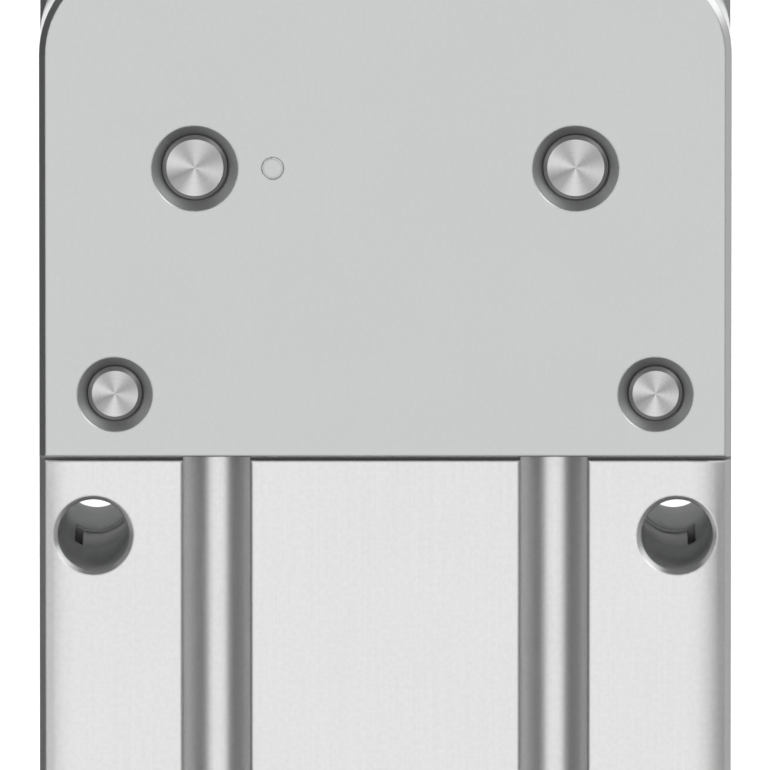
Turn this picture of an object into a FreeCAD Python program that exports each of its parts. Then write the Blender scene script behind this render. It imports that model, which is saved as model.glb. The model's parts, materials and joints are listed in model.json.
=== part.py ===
import FreeCAD, Part
import math
import os

import Sketcher

# Angular gripper: a double-acting piston lifts a crosshead whose two pins swing a pair of jaws.
# Millimetres. Origin at the centre of the mounting face, +Z towards the jaws, front towards -Y.
# At rest the piston is down and the jaws stand parallel, which is the closed position.

DIMENSIONS = {
    # cylinder body
    "body_width": 32.0,
    "body_depth": 20.0,
    "body_height": 30.0,
    "crown_radius": 6.5,
    "crown_run": 1.69,
    "edge_break": 0.3,
    "rebate_height": 0.15,
    "rebate_depth": 0.35,
    "rebate_round": 0.11,
    "base_break": 0.2,
    "mortise_inner": 9.0,
    "mortise_outer": 14.43,
    "mortise_width": 5.5,
    "mortise_depth": 7.0,
    "groove_offset": 7.8,
    "groove_opening": 3.1,
    "groove_lip": 0.6,
    "groove_radius": 2.05,
    "groove_break": 0.1,
    "cross_hole_offset": 13.5,
    "cross_hole_drop": 3.67,
    "cross_hole_radius": 1.65,
    "cross_hole_break": 0.21,
    "base_hole_offset_x": 12.5,
    "base_hole_offset_y": 7.0,
    "base_hole_radius": 1.5,
    "base_hole_depth": 8.0,
    "thread_break": 0.25,
    "port_radius": 2.5,
    "port_depth": 5.5,
    "port_chamfer": 0.4,
    "lower_port_height": 8.2,
    "upper_port_height": 17.4,
    "channel_radius": 0.55,
    "lower_channel_height": 6.7,
    "upper_channel_height": 18.9,
    # cylinder bore and what closes it
    "bore_radius": 8.0,
    "bore_top": 19.5,
    "cover_seat_radius": 8.3,
    "cover_top": 6.0,
    "cover_thickness": 3.5,
    "cover_groove_radius": 7.0,
    "cover_groove_width": 1.5,
    "pull_hole_radius": 1.5,
    "pull_hole_depth": 2.4,
    "ring_groove_radius": 8.75,
    "ring_groove_low": 1.4,
    "ring_inner_radius": 7.0,
    "ring_thickness": 1.0,
    "ring_gap_angle": 16.0,
    "ring_ear_radius": 1.3,
    "ring_ear_hole": 0.6,
    "mouth_chamfer": 0.35,
    # piston rod, its bush and its seal
    "rod_radius": 2.5,
    "rod_spigot_radius": 1.5,
    "rod_hole_radius": 2.6,
    "bush_radius": 3.5,
    "bush_length": 5.0,
    "bush_setback": 0.5,
    "seal_pocket_radius": 4.25,
    "seal_pocket_height": 3.5,
    "retainer_height": 1.0,
    "running_gap": 0.02,
    "press_gap": 0.01,
    "axial_gap": 0.05,
    # piston
    "piston_radius": 7.9,
    "piston_height": 7.0,
    "piston_boss_radius": 5.0,
    "piston_boss_low": 1.0,
    "piston_boss_high": 0.7,
    "piston_float": 0.3,
    "piston_seal_width": 1.2,
    "piston_seal_floor": 6.5,
    "piston_seal_inset": 0.6,
    "piston_seal_gap": 0.03,
    "magnet_width": 1.8,
    "magnet_floor": 6.4,
    "magnet_radius": 7.8,
    "nut_recess_radius": 3.3,
    "nut_recess_depth": 2.6,
    "nut_height": 2.4,
    "nut_circumradius": 3.175,
    # head cheeks
    "head_depth": 20.4,
    "head_height": 23.5,
    "head_corner_radius": 4.75,
    "head_seam_round": 0.16,
    "jaw_slot": 7.3,
    "pin_chamfer_depth": 0.5,
    # tie blocks between the cheeks
    "block_height": 5.9,
    "tenon_outer": 14.07,
    "tenon_notch_radius": 1.8,
    # pivot, tie and index pins
    "pivot_offset": 8.8,
    "pivot_height": 13.5,
    "pivot_radius": 1.5,
    "tie_offset": 12.5,
    "tie_height": 2.95,
    "tie_radius": 1.25,
    "pin_setback": 0.22,
    "pin_edge": 0.18,
    "index_offset": 5.2,
    "index_radius": 0.5,
    "index_depth": 2.0,
    "index_edge": 0.03,
    "index_setback": 0.01,
    # crosshead and drive pins
    "drive_offset": 3.0,
    "drive_half_angle": 20.0,
    "drive_pin_radius": 1.0,
    "drive_pin_edge": 0.15,
    "crosshead_width": 9.8,
    "crosshead_depth": 6.6,
    "crosshead_slot": 3.6,
    "crosshead_low": 0.8,
    "crosshead_web": 4.7,
    "crosshead_head": 2.0,
    "crosshead_corner": 1.6,
    "crosshead_thread": 4.7,
    # jaws
    "jaw_depth": 6.6,
    "jaw_top": 22.0,
    "jaw_inner": 2.3,
    "jaw_outer": 7.2,
    "jaw_heel_angle": 50.0,
    "hub_radius": 3.3,
    "hub_shoulder_low": 2.5,
    "hub_shoulder_high": 4.5,
    "jaw_edge": 0.3,
    "arm_depth": 3.2,
    "arm_half_width": 2.2,
    "arm_length": 7.4,
    "arm_round": 0.5,
    "arm_slot_start": 5.7,
    "arm_slot_half": 1.06,
    "jaw_bush_radius": 2.1,
    "finger_hole_radius": 1.5,
    "finger_hole_low": 13.0,
    "finger_hole_pitch": 6.0,
    "shim_outer": 3.1,
    "shim_inner": 1.55,
    "shim_thickness": 0.25,
}

# Points closer than this count as one, and a cut that removes less has missed its solid.
SAME_PLACE = 1e-4
LEAST_CUT = 1e-6

doc = FreeCAD.newDocument("AngularGripper")
sheet = doc.addObject("Spreadsheet::Sheet", "Dims")
for row, (alias, number) in enumerate(DIMENSIONS.items(), start=1):
    sheet.set(f"A{row}", alias)
    sheet.set(f"B{row}", str(number))
    sheet.setAlias(f"B{row}", alias)
doc.recompute()


class Size:
    """A number together with the sheet expression that it comes from."""

    def __init__(self, value, text):
        self.value = value
        self.text = text

    def __add__(self, other):
        other = as_size(other)
        return Size(self.value + other.value, f"({self.text} + {other.text})")

    def __sub__(self, other):
        other = as_size(other)
        return Size(self.value - other.value, f"({self.text} - {other.text})")

    def __mul__(self, factor):
        factor = as_size(factor)
        return Size(self.value * factor.value, f"({self.text} * {factor.text})")

    def __truediv__(self, divisor):
        divisor = as_size(divisor)
        return Size(self.value / divisor.value, f"({self.text} / {divisor.text})")

    def __neg__(self):
        return Size(-self.value, f"(-1 * {self.text})")


def as_size(item):
    """Turn a plain number into a Size, and leave a Size as it is."""
    if isinstance(item, Size):
        return item
    return Size(float(item), str(float(item)))


def root(size):
    return Size(math.sqrt(size.value), f"sqrt({size.text})")


def cosine(degrees):
    return Size(math.cos(math.radians(degrees.value)), f"cos({degrees.text})")


def sine(degrees):
    return Size(math.sin(math.radians(degrees.value)), f"sin({degrees.text})")


def tangent(degrees):
    return Size(math.tan(math.radians(degrees.value)), f"tan({degrees.text})")


def dim(alias):
    """The named cell of the sheet."""
    return Size(DIMENSIONS[alias], f"Dims.{alias}")


ZERO = as_size(0)


class Bend:
    """An arc from one corner of an outline to the next, about a given centre."""

    def __init__(self, centre_x, centre_y, radius, clockwise=False):
        self.centre = (as_size(centre_x), as_size(centre_y))
        self.radius = radius
        self.clockwise = clockwise

    def curve(self, start, end):
        """The arc itself; arcs run anticlockwise, so a clockwise one is drawn from its far end."""
        centre = FreeCAD.Vector(self.centre[0].value, self.centre[1].value, 0)
        if self.clockwise:
            start, end = end, start
        first = math.atan2(start.y - centre.y, start.x - centre.x)
        last = math.atan2(end.y - centre.y, end.x - centre.x)
        if last <= first:
            last += 2 * math.pi
        circle = Part.Circle(centre, FreeCAD.Vector(0, 0, 1), self.radius.value)
        return Part.ArcOfCircle(circle, first, last)


def new_body(label, x=ZERO, y=ZERO, z=ZERO):
    """An empty sub-part whose place is bound to the sheet."""
    body = doc.addObject("PartDesign::Body", label)
    body.Label = label
    for axis, size in zip("xyz", (x, y, z)):
        body.setExpression(f"Placement.Base.{axis}", as_size(size).text)
    return body


def sketch_on(body, name, role, offset=ZERO):
    """A sketch on one of the body's own origin planes, moved along the plane's normal."""
    plane = next(item for item in body.Origin.OriginFeatures if item.Role == role)
    sketch = body.newObject("Sketcher::SketchObject", name)
    sketch.AttachmentSupport = (plane, "")
    sketch.MapMode = "FlatFace"
    sketch.setExpression("AttachmentOffset.Base.z", as_size(offset).text)
    return sketch


def hold_x(sketch, edge, vertex, x):
    """Fix how far right of the origin a point of a sketch lies, bound to the sheet."""
    if abs(x.value) < SAME_PLACE:
        sketch.addConstraint(Sketcher.Constraint("PointOnObject", edge, vertex, -2))
        return
    index = sketch.addConstraint(Sketcher.Constraint("DistanceX", -1, 1, edge, vertex, x.value))
    sketch.setExpression(f"Constraints[{index}]", x.text)


def hold_y(sketch, edge, vertex, y):
    """Fix how far above the origin a point of a sketch lies, bound to the sheet."""
    if abs(y.value) < SAME_PLACE:
        sketch.addConstraint(Sketcher.Constraint("PointOnObject", edge, vertex, -1))
        return
    index = sketch.addConstraint(Sketcher.Constraint("DistanceY", -1, 1, edge, vertex, y.value))
    sketch.setExpression(f"Constraints[{index}]", y.text)


def hold_bend(sketch, edge, bend, start, end):
    """Fix an arc whose ends are held: its centre can only slide square to the chord."""
    if abs(end.y - start.y) >= abs(end.x - start.x):
        hold_x(sketch, edge, 3, bend.centre[0])
    else:
        hold_y(sketch, edge, 3, bend.centre[1])


def trace(sketch, corners):
    """Draw a closed outline: each corner is x, y and, where an arc leaves it, a Bend."""
    first = sketch.GeometryCount
    count = len(corners)
    corners = [(as_size(corner[0]), as_size(corner[1]), *corner[2:]) for corner in corners]
    points = [FreeCAD.Vector(corner[0].value, corner[1].value, 0) for corner in corners]
    ends = []
    for index, corner in enumerate(corners):
        start = points[index]
        end = points[(index + 1) % count]
        bend = corner[2] if len(corner) > 2 else None
        curve = bend.curve(start, end) if bend else Part.LineSegment(start, end)
        sketch.addGeometry(curve, False)
        ends.append((2, 1) if bend and bend.clockwise else (1, 2))
    for index in range(count):
        after = (index + 1) % count
        sketch.addConstraint(
            Sketcher.Constraint("Coincident", first + index, ends[index][1], first + after, ends[after][0])
        )
    for index, corner in enumerate(corners):
        hold_x(sketch, first + index, ends[index][0], corner[0])
        hold_y(sketch, first + index, ends[index][0], corner[1])
        if len(corner) > 2:
            hold_bend(sketch, first + index, corner[2], points[index], points[(index + 1) % count])


def draw_circle(sketch, x, y, radius):
    centre = FreeCAD.Vector(x.value, y.value, 0)
    edge = sketch.addGeometry(Part.Circle(centre, FreeCAD.Vector(0, 0, 1), radius.value), False)
    hold_x(sketch, edge, 3, x)
    hold_y(sketch, edge, 3, y)
    index = sketch.addConstraint(Sketcher.Constraint("Radius", edge, radius.value))
    sketch.setExpression(f"Constraints[{index}]", radius.text)


def extrude(body, kind, sketch, length, symmetric=False, backwards=False):
    """A Pad or a Pocket of a sketch, to one side of it or evenly to both."""
    feature = body.newObject(f"PartDesign::{kind}", f"{sketch.Name}_{kind}")
    feature.Profile = sketch
    feature.SideType = "Symmetric" if symmetric else "One side"
    feature.Reversed = backwards
    feature.setExpression("Length", as_size(length).text)
    sketch.Visibility = False
    return feature


def revolve(body, kind, sketch):
    """A full turn of a sketch about its own vertical axis."""
    feature = body.newObject(f"PartDesign::{kind}", f"{sketch.Name}_{kind}")
    feature.Profile = sketch
    feature.ReferenceAxis = (sketch, ["V_Axis"])
    feature.Angle = 360
    return feature


def break_edges(body, kind, name, size, wanted):
    """Chamfer or fillet the edges of the body's tip that the test accepts."""
    doc.recompute()
    base = body.Tip
    edges = [f"Edge{index}" for index, edge in enumerate(base.Shape.Edges, start=1) if wanted(edge)]
    feature = body.newObject(f"PartDesign::{kind}", name)
    feature.Base = (base, edges)
    feature.setExpression("Size" if kind == "Chamfer" else "Radius", as_size(size).text)
    return feature


def lies_on(edge, axis, place):
    """Whether a whole edge lies in the plane where that coordinate has that value."""
    box = edge.BoundBox
    low = getattr(box, f"{axis}Min")
    high = getattr(box, f"{axis}Max")
    return abs(low - place) < SAME_PLACE and abs(high - place) < SAME_PLACE


def is_circle(edge, radius):
    return isinstance(edge.Curve, Part.Circle) and abs(edge.Curve.Radius - radius.value) < SAME_PLACE


def turned_part(label, corners, x=ZERO, y=ZERO, z=ZERO, along_y=False):
    """A piece turned on a lathe: its half section is traced as radius and height."""
    body = new_body(label, x, y, z)
    sketch = sketch_on(body, f"{label}_section", "XZ_Plane")
    trace(sketch, corners)
    revolve(body, "Revolution", sketch)
    if along_y:
        body.Placement.Rotation = FreeCAD.Rotation(FreeCAD.Vector(1, 0, 0), 90)
    return body


def rectangle(inner, outer, half):
    """Corners of a rectangle from one x to another, evenly to both sides of the x axis."""
    return [(inner, -half), (outer, -half), (outer, half), (inner, half)]


def ring_section(inner, outer, low, high):
    """The half section of a plain ring."""
    return [(inner, low), (outer, low), (outer, high), (inner, high)]


def pin_section(radius, low, high, edge):
    """The half section of a pin with both ends chamfered."""
    return [
        (ZERO, low),
        (radius - edge, low),
        (radius, low + edge),
        (radius, high - edge),
        (radius - edge, high),
        (ZERO, high),
    ]


half_width = dim("body_width") / 2
half_depth = dim("body_depth") / 2
split = dim("body_height")
head_face = dim("head_depth") / 2
half_slot = dim("jaw_slot") / 2
pivot_z = split + dim("pivot_height")
tie_z = split + dim("tie_height")
cross_z = split - dim("cross_hole_drop")
drive_arm = dim("pivot_offset") - dim("drive_offset")
drive_drop = drive_arm * tangent(dim("drive_half_angle"))
drive_z = pivot_z - drive_drop
running_gap = dim("running_gap")
press_gap = dim("press_gap")
axial_gap = dim("axial_gap")
piston_low = dim("cover_top") + dim("piston_float")
skirt_low = piston_low + dim("piston_boss_low")
skirt_high = skirt_low + dim("piston_height")
piston_high = skirt_high + dim("piston_boss_high")
crosshead_low = split + dim("crosshead_low")
cover_low = dim("cover_top") - dim("cover_thickness")
cover_groove_low = cover_low + (dim("cover_thickness") - dim("cover_groove_width")) / 2
cover_groove_high = cover_groove_low + dim("cover_groove_width")


def crown_drop():
    """How far the front and rear faces fall back over the curved run beside each side edge."""
    radius = dim("crown_radius")
    return radius - root(radius * radius - dim("crown_run") * dim("crown_run"))


def body_outline():
    """Rectangle whose front and rear faces curve gently back before the broken side edges."""
    run = dim("crown_run")
    radius = dim("crown_radius")
    drop = crown_drop()
    crown_end = half_width - dim("edge_break")
    crown_start = crown_end - run
    corners = []
    for sign_x, sign_y in ((1, -1), (1, 1), (-1, 1), (-1, -1)):
        bend = Bend(crown_start * sign_x, (half_depth - radius) * sign_y, radius)
        flat = (crown_start * sign_x, half_depth * sign_y)
        crown = (crown_end * sign_x, (half_depth - drop) * sign_y)
        side = (half_width * sign_x, (half_depth - drop - dim("edge_break")) * sign_y)
        if sign_x * sign_y < 0:
            corners += [(*flat, bend), crown, side]
        else:
            corners += [side, (*crown, bend), flat]
    return corners


def groove_outline(centre):
    """Keyhole section of a sensor groove: broken lips, a short throat and a round floor."""
    half = dim("groove_opening") / 2
    radius = dim("groove_radius")
    front = -half_depth
    throat = front + dim("groove_lip")
    middle = throat + root(radius * radius - half * half)
    edge = dim("groove_break")
    return [
        (centre - half - edge, front),
        (centre + half + edge, front),
        (centre + half, front + edge),
        (centre + half, throat, Bend(centre, middle, radius)),
        (centre - half, throat),
        (centre - half, front + edge),
    ]


def bore_section():
    """Half section of everything bored on the cylinder axis, from the open end upwards."""
    seat = dim("cover_seat_radius")
    ring_low = dim("ring_groove_low")
    mouth = dim("mouth_chamfer")
    bore = dim("bore_radius")
    bore_top = dim("bore_top")
    pocket = dim("seal_pocket_radius")
    pocket_top = bore_top + dim("seal_pocket_height")
    bush_low = split - dim("bush_setback") - dim("bush_length")
    return [
        (ZERO, ZERO),
        (seat + mouth, ZERO),
        (seat, mouth),
        (seat, ring_low),
        (dim("ring_groove_radius"), ring_low),
        (dim("ring_groove_radius"), cover_low),
        (seat, cover_low),
        (seat, dim("cover_top")),
        (bore, dim("cover_top")),
        (bore, bore_top),
        (pocket, bore_top),
        (pocket, pocket_top),
        (dim("rod_hole_radius"), pocket_top),
        (dim("rod_hole_radius"), bush_low),
        (dim("bush_radius"), bush_low),
        (dim("bush_radius"), split),
        (ZERO, split),
    ]


def make_cylinder_body():
    body = new_body("cylinder_body")
    outline = sketch_on(body, "body_outline", "XY_Plane")
    trace(outline, body_outline())
    extrude(body, "Pad", outline, split)

    mortises = sketch_on(body, "tenon_mortises", "XY_Plane", split)
    for side in (-1, 1):
        mouth = rectangle(dim("mortise_inner") * side, dim("mortise_outer") * side, dim("mortise_width") / 2)
        trace(mortises, mouth)
    extrude(body, "Pocket", mortises, dim("mortise_depth"))

    rebates = sketch_on(body, "seam_rebates", "YZ_Plane")
    rebate_floor = split - dim("rebate_height")
    for side in (-1, 1):
        back = (half_depth - dim("rebate_depth")) * side
        front = half_depth * side
        trace(rebates, [(back, rebate_floor), (front, rebate_floor), (front, split), (back, split)])
    extrude(body, "Pocket", rebates, dim("body_width"), symmetric=True)

    grooves = sketch_on(body, "sensor_grooves", "XY_Plane")
    for side in (-1, 1):
        trace(grooves, groove_outline(dim("groove_offset") * side))
    extrude(body, "Pocket", grooves, split, backwards=True)

    bore = sketch_on(body, "cylinder_bore", "XZ_Plane")
    trace(bore, bore_section())
    revolve(body, "Groove", bore)

    cross_holes = sketch_on(body, "cross_holes", "XZ_Plane")
    for side in (-1, 1):
        draw_circle(cross_holes, dim("cross_hole_offset") * side, cross_z, dim("cross_hole_radius"))
    extrude(body, "Pocket", cross_holes, dim("body_depth"), symmetric=True)

    base_holes = sketch_on(body, "base_holes", "XY_Plane")
    for side_x in (-1, 1):
        for side_y in (-1, 1):
            hole_x = dim("base_hole_offset_x") * side_x
            hole_y = dim("base_hole_offset_y") * side_y
            draw_circle(base_holes, hole_x, hole_y, dim("base_hole_radius"))
    extrude(body, "Pocket", base_holes, dim("base_hole_depth"), backwards=True)

    ports = sketch_on(body, "air_ports", "YZ_Plane", half_width)
    channels = sketch_on(body, "air_channels", "YZ_Plane", half_width)
    for level in ("lower", "upper"):
        draw_circle(ports, ZERO, dim(f"{level}_port_height"), dim("port_radius"))
        draw_circle(channels, ZERO, dim(f"{level}_channel_height"), dim("channel_radius"))
    extrude(body, "Pocket", ports, dim("port_depth"))
    extrude(body, "Pocket", channels, half_width - dim("bore_radius") / 2)

    def port_mouth(edge):
        return lies_on(edge, "X", half_width.value) and is_circle(edge, dim("port_radius"))

    crown_depth = half_depth.value - crown_drop().value

    def cross_hole_mouth(edge):
        box = edge.BoundBox
        reach = dim("cross_hole_radius").value
        beside = abs(abs(box.Center.x) - dim("cross_hole_offset").value) < reach
        level = abs(box.Center.z - cross_z.value) < reach
        return beside and level and min(abs(box.YMin), abs(box.YMax)) > crown_depth

    def base_mouth(edge):
        return lies_on(edge, "Z", 0) and is_circle(edge, dim("base_hole_radius"))

    def long_rim(edge):
        """A long edge of the front or rear face, not one of the broken groove lips."""
        box = edge.BoundBox
        outside = min(abs(box.YMin), abs(box.YMax)) > crown_depth - SAME_PLACE
        return outside and box.XLength > dim("groove_break").value * 2

    def rebate_rim(edge):
        return lies_on(edge, "Z", rebate_floor.value) and long_rim(edge)

    def base_rim(edge):
        return lies_on(edge, "Z", 0) and long_rim(edge)

    break_edges(body, "Chamfer", "port_mouths", dim("port_chamfer"), port_mouth)
    break_edges(body, "Chamfer", "cross_hole_mouths", dim("cross_hole_break"), cross_hole_mouth)
    break_edges(body, "Chamfer", "base_hole_mouths", dim("thread_break"), base_mouth)
    break_edges(body, "Chamfer", "base_rims", dim("base_break"), base_rim)
    break_edges(body, "Fillet", "rebate_rims", dim("rebate_round"), rebate_rim)
    return body


def make_tie_block(word, side):
    """Block between the cheeks that holds a tie pin; its tenon is locked in the body by the cross bolt."""
    body = new_body(f"tie_block_{word}")
    head = sketch_on(body, f"tie_block_{word}_head", "XY_Plane", split)
    trace(head, rectangle(dim("mortise_inner") * side, half_width * side, half_slot - press_gap))
    extrude(body, "Pad", head, dim("block_height"))
    tenon = sketch_on(body, f"tie_block_{word}_tenon", "XY_Plane", split)
    tenon_inner = (dim("mortise_inner") + running_gap) * side
    trace(tenon, rectangle(tenon_inner, dim("tenon_outer") * side, dim("mortise_width") / 2 - running_gap))
    extrude(body, "Pad", tenon, dim("mortise_depth") - axial_gap, backwards=True)
    holes = sketch_on(body, f"tie_block_{word}_holes", "XZ_Plane")
    draw_circle(holes, dim("tie_offset") * side, tie_z, dim("tie_radius") + press_gap)
    draw_circle(holes, dim("cross_hole_offset") * side, cross_z, dim("tenon_notch_radius"))
    extrude(body, "Pocket", holes, dim("jaw_slot"), symmetric=True)
    block_top = split + dim("block_height")

    def outer_top(edge):
        return lies_on(edge, "X", half_width.value * side) and lies_on(edge, "Z", block_top.value)

    break_edges(body, "Chamfer", f"tie_block_{word}_edge", dim("edge_break"), outer_top)
    return body


def make_cheek(label, front):
    """One plate of the head; only the front one carries the index pin."""
    body = new_body(label)
    face = -head_face.value if front else head_face.value
    outer = half_width
    top = split + dim("head_height")
    radius = dim("head_corner_radius")
    shoulder = top - radius
    outline = sketch_on(body, f"{label}_outline", "XZ_Plane", half_slot if front else -half_slot)
    trace(
        outline,
        [
            (-outer, split),
            (outer, split),
            (outer, shoulder, Bend(outer - radius, shoulder, radius)),
            (outer - radius, top),
            (radius - outer, top, Bend(radius - outer, shoulder, radius)),
            (-outer, shoulder),
        ],
    )
    thickness = head_face - half_slot
    extrude(body, "Pad", outline, thickness, backwards=not front)

    pivot_hole = dim("pivot_radius") + press_gap
    tie_hole = dim("tie_radius") + press_gap
    holes = sketch_on(body, f"{label}_pin_holes", "XZ_Plane")
    for side in (-1, 1):
        draw_circle(holes, dim("pivot_offset") * side, pivot_z, pivot_hole)
        draw_circle(holes, dim("tie_offset") * side, tie_z, tie_hole)
    extrude(body, "Pocket", holes, dim("head_depth"), symmetric=True)

    def pin_mouth(edge):
        return lies_on(edge, "Y", face) and (is_circle(edge, pivot_hole) or is_circle(edge, tie_hole))

    def seam_edge(edge):
        return lies_on(edge, "Y", face) and lies_on(edge, "Z", split.value)

    def outer_edge(edge):
        return lies_on(edge, "Y", face) and not edge.isClosed() and edge.BoundBox.ZMax > pivot_z.value

    break_edges(body, "Chamfer", f"{label}_pin_mouths", dim("pin_chamfer_depth"), pin_mouth)
    break_edges(body, "Chamfer", f"{label}_rim", dim("edge_break"), outer_edge)
    break_edges(body, "Fillet", f"{label}_seam", dim("head_seam_round"), seam_edge)
    if front:
        index_hole = sketch_on(body, "index_hole", "XZ_Plane", head_face)
        draw_circle(index_hole, -dim("index_offset"), pivot_z, dim("index_radius") + press_gap)
        extrude(body, "Pocket", index_hole, dim("index_depth"))
    return body


def make_pins():
    """Pivot and tie pins run from cheek to cheek; the drive pins span the crosshead."""
    reach = head_face - dim("pin_setback")
    edge = dim("pin_edge")
    drive_reach = dim("crosshead_depth") / 2
    pins = []
    for side, word in ((-1, "left"), (1, "right")):
        pivot = pin_section(dim("pivot_radius"), -reach, reach, edge)
        tie = pin_section(dim("tie_radius"), -reach, reach, edge)
        drive = pin_section(dim("drive_pin_radius"), -drive_reach, drive_reach, dim("drive_pin_edge"))
        place = dim("pivot_offset") * side
        pins.append(turned_part(f"pivot_pin_{word}", pivot, x=place, z=pivot_z, along_y=True))
        place = dim("tie_offset") * side
        pins.append(turned_part(f"tie_pin_{word}", tie, x=place, z=tie_z, along_y=True))
        place = dim("drive_offset") * side
        pins.append(turned_part(f"drive_pin_{word}", drive, x=place, z=drive_z, along_y=True))
    setback = dim("index_setback")
    index_pin = pin_section(dim("index_radius"), ZERO, dim("index_depth") - setback, dim("index_edge"))
    place = -dim("index_offset")
    pins.append(turned_part("index_pin", index_pin, x=place, y=setback - head_face, z=pivot_z))
    pins[-1].Placement.Rotation = FreeCAD.Rotation(FreeCAD.Vector(1, 0, 0), -90)
    return pins


def make_retaining_ring():
    """Snap ring in the mouth of the bore: an open ring with two drilled ears beside the gap."""
    body = new_body("end_cover_ring", z=dim("ring_groove_low") + axial_gap)
    outer = dim("ring_groove_radius") - axial_gap
    inner = dim("ring_inner_radius")
    half_gap = dim("ring_gap_angle") / 2
    opening_x = sine(half_gap)
    opening_y = -cosine(half_gap)
    outline = sketch_on(body, "snap_ring", "XY_Plane")
    trace(
        outline,
        [
            (outer * opening_x, outer * opening_y, Bend(0, 0, outer)),
            (-outer * opening_x, outer * opening_y),
            (-inner * opening_x, inner * opening_y, Bend(0, 0, inner, clockwise=True)),
            (inner * opening_x, inner * opening_y),
        ],
    )
    extrude(body, "Pad", outline, dim("ring_thickness"))
    ears = sketch_on(body, "snap_ring_ears", "XY_Plane")
    ear_holes = sketch_on(body, "snap_ring_ear_holes", "XY_Plane")
    ear_y = -inner + dim("ring_ear_hole")
    ear_x = dim("ring_ear_radius") + outer * opening_x
    for side in (-1, 1):
        draw_circle(ears, ear_x * side, ear_y, dim("ring_ear_radius"))
        draw_circle(ear_holes, ear_x * side, ear_y, dim("ring_ear_hole"))
    extrude(body, "Pad", ears, dim("ring_thickness"))
    extrude(body, "Pocket", ear_holes, dim("ring_thickness"), backwards=True)
    return body


def make_cylinder_fittings():
    """End cover and the rings that seal and guide the rod, all turned about the cylinder axis."""
    cover_radius = dim("cover_seat_radius") - running_gap
    pull_top = cover_low + dim("pull_hole_depth")
    cover = turned_part(
        "end_cover",
        [
            (ZERO, pull_top),
            (dim("pull_hole_radius"), pull_top),
            (dim("pull_hole_radius"), cover_low),
            (cover_radius, cover_low),
            (cover_radius, cover_groove_low),
            (dim("cover_groove_radius"), cover_groove_low),
            (dim("cover_groove_radius"), cover_groove_high),
            (cover_radius, cover_groove_high),
            (cover_radius, dim("cover_top")),
            (ZERO, dim("cover_top")),
        ],
    )
    cover_seal = turned_part(
        "end_cover_seal",
        ring_section(
            dim("cover_groove_radius") + press_gap,
            dim("cover_seat_radius") - press_gap,
            cover_groove_low + axial_gap,
            cover_groove_high - axial_gap,
        ),
    )
    rod_clear = dim("rod_radius") + running_gap
    pocket = dim("seal_pocket_radius") - press_gap
    pocket_low = dim("bore_top")
    seal_low = pocket_low + dim("retainer_height") + axial_gap
    seal_high = pocket_low + dim("seal_pocket_height") - axial_gap
    retainer = turned_part(
        "seal_retainer",
        ring_section(rod_clear + axial_gap, pocket, pocket_low, pocket_low + dim("retainer_height")),
    )
    rod_seal = turned_part("rod_seal", ring_section(rod_clear, pocket, seal_low, seal_high))
    bush_high = split - dim("bush_setback")
    bush_low = bush_high - dim("bush_length")
    bush = turned_part(
        "rod_bush", ring_section(rod_clear, dim("bush_radius") - press_gap, bush_low, bush_high)
    )
    return [cover, cover_seal, retainer, rod_seal, bush]


def seal_lows():
    """Heights of the lower edges of the two seal grooves in the piston skirt."""
    lower = skirt_low + dim("piston_seal_inset")
    upper = skirt_high - dim("piston_seal_inset") - dim("piston_seal_width")
    return lower, upper


def make_piston_group():
    radius = dim("piston_radius")
    boss = dim("piston_boss_radius")
    hole = dim("rod_spigot_radius") + press_gap
    recess_top = piston_low + dim("nut_recess_depth")
    magnet_low = (skirt_low + skirt_high) / 2 - dim("magnet_width") / 2
    magnet_high = magnet_low + dim("magnet_width")
    lower_seal, upper_seal = seal_lows()
    section = [
        (hole, recess_top),
        (dim("nut_recess_radius"), recess_top),
        (dim("nut_recess_radius"), piston_low),
        (boss, piston_low),
        (boss, skirt_low),
        (radius, skirt_low),
    ]
    grooves = (
        (lower_seal, lower_seal + dim("piston_seal_width"), dim("piston_seal_floor")),
        (magnet_low, magnet_high, dim("magnet_floor")),
        (upper_seal, upper_seal + dim("piston_seal_width"), dim("piston_seal_floor")),
    )
    for low, high, floor in grooves:
        section += [(radius, low), (floor, low), (floor, high), (radius, high)]
    section += [(radius, skirt_high), (boss, skirt_high), (boss, piston_high), (hole, piston_high)]
    pieces = [turned_part("piston", section)]
    for word, low in (("lower", lower_seal), ("upper", upper_seal)):
        seal = ring_section(
            dim("piston_seal_floor") + press_gap,
            dim("bore_radius") - dim("piston_seal_gap"),
            low + axial_gap,
            low + dim("piston_seal_width") - axial_gap,
        )
        pieces.append(turned_part(f"piston_seal_{word}", seal))
    magnet = ring_section(
        dim("magnet_floor") + press_gap, dim("magnet_radius"), magnet_low + axial_gap, magnet_high - axial_gap
    )
    pieces.append(turned_part("magnet_ring", magnet))
    spigot = dim("rod_spigot_radius")
    rod_edge = dim("pin_edge")
    spigot_low = recess_top - dim("nut_height")
    spigot_high = crosshead_low + dim("crosshead_thread") - axial_gap
    rod = [
        (ZERO, spigot_low),
        (spigot - rod_edge, spigot_low),
        (spigot, spigot_low + rod_edge),
        (spigot, piston_high),
        (dim("rod_radius"), piston_high),
        (dim("rod_radius"), crosshead_low),
        (spigot, crosshead_low),
        (spigot, spigot_high),
        (ZERO, spigot_high),
    ]
    pieces.append(turned_part("piston_rod", rod))
    return pieces


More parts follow.
